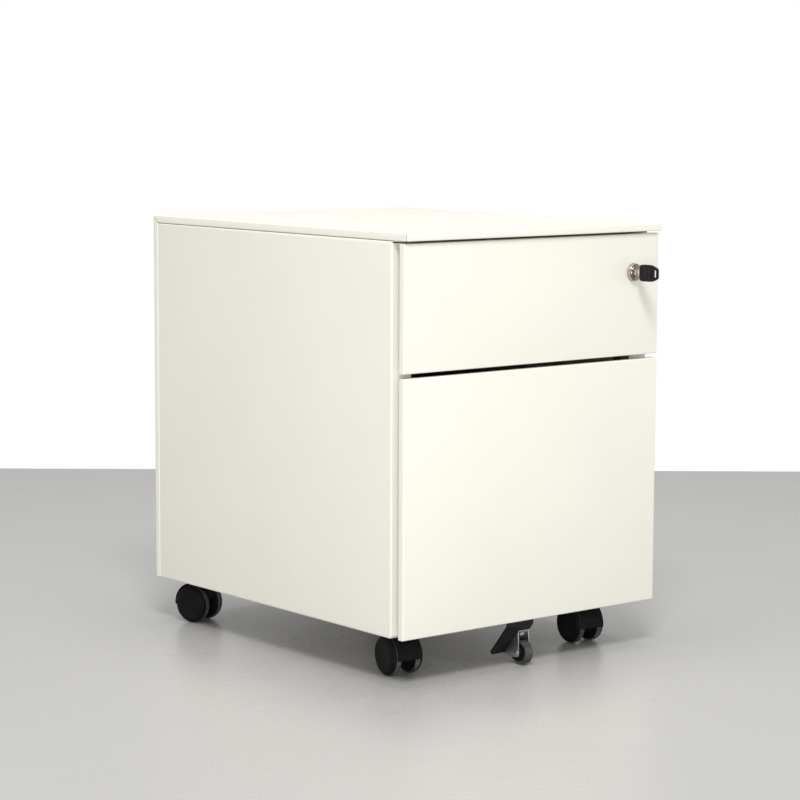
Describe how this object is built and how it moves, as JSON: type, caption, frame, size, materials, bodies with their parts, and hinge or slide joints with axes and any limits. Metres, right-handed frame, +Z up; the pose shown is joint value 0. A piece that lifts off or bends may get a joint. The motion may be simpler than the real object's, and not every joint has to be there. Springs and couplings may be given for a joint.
{
  "type": "rolling pedestal cabinet",
  "caption": "Ivory steel pedestal cabinet on twin-wheel casters, with a box drawer over a file drawer, a key lock and a small anti-tip wheel.",
  "frame": {"origin": "centre of the footprint's bounding box, key included, at the height of the caster wheels' lowest points", "axes": "+Z up, +Y towards the back of the cabinet, +X to the right of a person facing the drawers"},
  "size_m": [0.42, 0.5746, 0.548],
  "materials": {
    "ivory_paint": "ivory white powder coat, satin with a fine orange peel",
    "zinc_steel": "bright zinc plate",
    "nickel": "satin nickel plate",
    "black_paint": "satin black paint",
    "black_plastic": "moulded black nylon",
    "key_plastic": "moulded dark grey plastic",
    "grey_tyre": "grey rubber tread",
    "white_plastic": "moulded white nylon"
  },
  "bodies": {
    "carcass": {"top_cover": "ivory_paint", "back_panel": "ivory_paint", "side_panel_left": "ivory_paint", "side_panel_right": "ivory_paint", "base_pan": "ivory_paint", "front_top_rail": "ivory_paint", "rear_post_left": "zinc_steel", "rear_post_right": "zinc_steel", "upper_slide_outer_left": "zinc_steel", "upper_slide_outer_right": "zinc_steel", "lower_slide_outer_left": "zinc_steel", "lower_slide_outer_right": "zinc_steel", "lock_bar_guide_lower": "white_plastic", "lock_bar_guide_upper": "white_plastic", "caster_front_left_plate": "zinc_steel", "caster_front_right_plate": "zinc_steel", "caster_back_left_plate": "zinc_steel", "caster_back_right_plate": "zinc_steel"},
    "upper_drawer": {"upper_drawer_front": "ivory_paint", "upper_drawer_box": "ivory_paint", "upper_slide_inner_left": "zinc_steel", "upper_slide_inner_right": "zinc_steel", "lock_rosette": "nickel", "lock_housing": "nickel", "lock_nut": "zinc_steel"},
    "lock_barrel": {"lock_plug": "nickel", "lock_cam": "zinc_steel", "key_blade": "nickel", "key_pivot_pin": "nickel"},
    "key_handle": {"key_head": "key_plastic"},
    "locking_bar": {"lock_bar": "zinc_steel"},
    "lower_drawer": {"lower_drawer_front": "ivory_paint", "lower_drawer_box": "ivory_paint", "lower_slide_inner_left": "zinc_steel", "lower_slide_inner_right": "zinc_steel", "file_rail_left": "zinc_steel", "file_rail_right": "zinc_steel", "lower_drawer_catch": "zinc_steel", "tip_wheel_strap": "black_paint", "tip_wheel_fork": "zinc_steel", "tip_wheel_axle": "zinc_steel"},
    "middle_slide_left": {"lower_slide_middle_left": "zinc_steel"},
    "middle_slide_right": {"lower_slide_middle_right": "zinc_steel"},
    "anti_tip_wheel": {"tip_wheel": "grey_tyre"},
    "caster_front_left_swivel": {"caster_front_left_hood": "black_plastic", "caster_front_left_axle": "zinc_steel"},
    "caster_front_left_left_wheel": {"caster_front_left_wheel_left": "black_plastic"},
    "caster_front_left_right_wheel": {"caster_front_left_wheel_right": "black_plastic"},
    "caster_front_right_swivel": {"caster_front_right_hood": "black_plastic", "caster_front_right_axle": "zinc_steel"},
    "caster_front_right_left_wheel": {"caster_front_right_wheel_left": "black_plastic"},
    "caster_front_right_right_wheel": {"caster_front_right_wheel_right": "black_plastic"},
    "caster_back_left_swivel": {"caster_back_left_hood": "black_plastic", "caster_back_left_axle": "zinc_steel"},
    "caster_back_left_left_wheel": {"caster_back_left_wheel_left": "black_plastic"},
    "caster_back_left_right_wheel": {"caster_back_left_wheel_right": "black_plastic"},
    "caster_back_right_swivel": {"caster_back_right_hood": "black_plastic", "caster_back_right_axle": "zinc_steel"},
    "caster_back_right_left_wheel": {"caster_back_right_wheel_left": "black_plastic"},
    "caster_back_right_right_wheel": {"caster_back_right_wheel_right": "black_plastic"}
  },
  "joints": [
    {"name": "upper_drawer_slide", "type": "slide", "parent": "carcass", "child": "upper_drawer", "axis": [0, -1, 0], "range_m": [0, 0.36]},
    {"name": "lower_drawer_slide", "type": "slide", "parent": "carcass", "child": "lower_drawer", "axis": [0, -1, 0], "range_m": [0, 0.45]},
    {"name": "middle_slide_left_travel", "type": "slide", "parent": "carcass", "child": "middle_slide_left", "axis": [0, -1, 0], "range_m": [0, 0.226]},
    {"name": "middle_slide_right_travel", "type": "slide", "parent": "carcass", "child": "middle_slide_right", "axis": [0, -1, 0], "range_m": [0, 0.226]},
    {"name": "key_turn", "type": "hinge", "parent": "upper_drawer", "child": "lock_barrel", "pos_m": [0.1645, -0.2477, 0.4867], "axis": [0, 1, 0], "range_deg": [0, 90]},
    {"name": "key_fold", "type": "hinge", "parent": "lock_barrel", "child": "key_handle", "pos_m": [0.1645, -0.2627, 0.4867], "axis": [1, 0, 0], "range_deg": [0, 90]},
    {"name": "lock_bar_drop", "type": "slide", "parent": "carcass", "child": "locking_bar", "axis": [0, 0, -1], "range_m": [0, 0.012]},
    {"name": "anti_tip_wheel_spin", "type": "hinge", "parent": "lower_drawer", "child": "anti_tip_wheel", "pos_m": [0, -0.2222, 0.0156], "axis": [1, 0, 0], "continuous": true},
    {"name": "caster_front_left_swivel", "type": "hinge", "parent": "carcass", "child": "caster_front_left_swivel", "pos_m": [-0.152, -0.1497, 0.04], "axis": [0, 0, 1], "continuous": true},
    {"name": "caster_front_left_left_wheel_spin", "type": "hinge", "parent": "caster_front_left_swivel", "child": "caster_front_left_left_wheel", "pos_m": [-0.15435, -0.16755, 0.025], "axis": [0.9914, -0.1305, 0], "continuous": true},
    {"name": "caster_front_left_right_wheel_spin", "type": "hinge", "parent": "caster_front_left_swivel", "child": "caster_front_left_right_wheel", "pos_m": [-0.15435, -0.16755, 0.025], "axis": [0.9914, -0.1305, 0], "continuous": true},
    {"name": "caster_front_right_swivel", "type": "hinge", "parent": "carcass", "child": "caster_front_right_swivel", "pos_m": [0.152, -0.1497, 0.04], "axis": [0, 0, 1], "continuous": true},
    {"name": "caster_front_right_left_wheel_spin", "type": "hinge", "parent": "caster_front_right_swivel", "child": "caster_front_right_left_wheel", "pos_m": [0.15012, -0.1676, 0.025], "axis": [0.9945, -0.1045, 0], "continuous": true},
    {"name": "caster_front_right_right_wheel_spin", "type": "hinge", "parent": "caster_front_right_swivel", "child": "caster_front_right_right_wheel", "pos_m": [0.15012, -0.1676, 0.025], "axis": [0.9945, -0.1045, 0], "continuous": true},
    {"name": "caster_back_left_swivel", "type": "hinge", "parent": "carcass", "child": "caster_back_left_swivel", "pos_m": [-0.162, 0.2283, 0.04], "axis": [0, 0, 1], "continuous": true},
    {"name": "caster_back_left_left_wheel_spin", "type": "hinge", "parent": "caster_back_left_swivel", "child": "caster_back_left_left_wheel", "pos_m": [-0.16756, 0.24542, 0.025], "axis": [-0.9511, -0.309, 0], "continuous": true},
    {"name": "caster_back_left_right_wheel_spin", "type": "hinge", "parent": "caster_back_left_swivel", "child": "caster_back_left_right_wheel", "pos_m": [-0.16756, 0.24542, 0.025], "axis": [-0.9511, -0.309, 0], "continuous": true},
    {"name": "caster_back_right_swivel", "type": "hinge", "parent": "carcass", "child": "caster_back_right_swivel", "pos_m": [0.162, 0.2283, 0.04], "axis": [0, 0, 1], "continuous": true},
    {"name": "caster_back_right_left_wheel_spin", "type": "hinge", "parent": "caster_back_right_swivel", "child": "caster_back_right_left_wheel", "pos_m": [0.16574, 0.24591, 0.025], "axis": [-0.9781, 0.2079, 0], "continuous": true},
    {"name": "caster_back_right_right_wheel_spin", "type": "hinge", "parent": "caster_back_right_swivel", "child": "caster_back_right_right_wheel", "pos_m": [0.16574, 0.24591, 0.025], "axis": [-0.9781, 0.2079, 0], "continuous": true}
  ],
  "couplings": [
    {"joint": "middle_slide_left_travel", "follows": "lower_drawer_slide", "ratio": 0.5},
    {"joint": "middle_slide_right_travel", "follows": "lower_drawer_slide", "ratio": 0.5},
    {"joint": "lock_bar_drop", "follows": "key_turn", "m_per_rad": 0.00763}
  ]
}
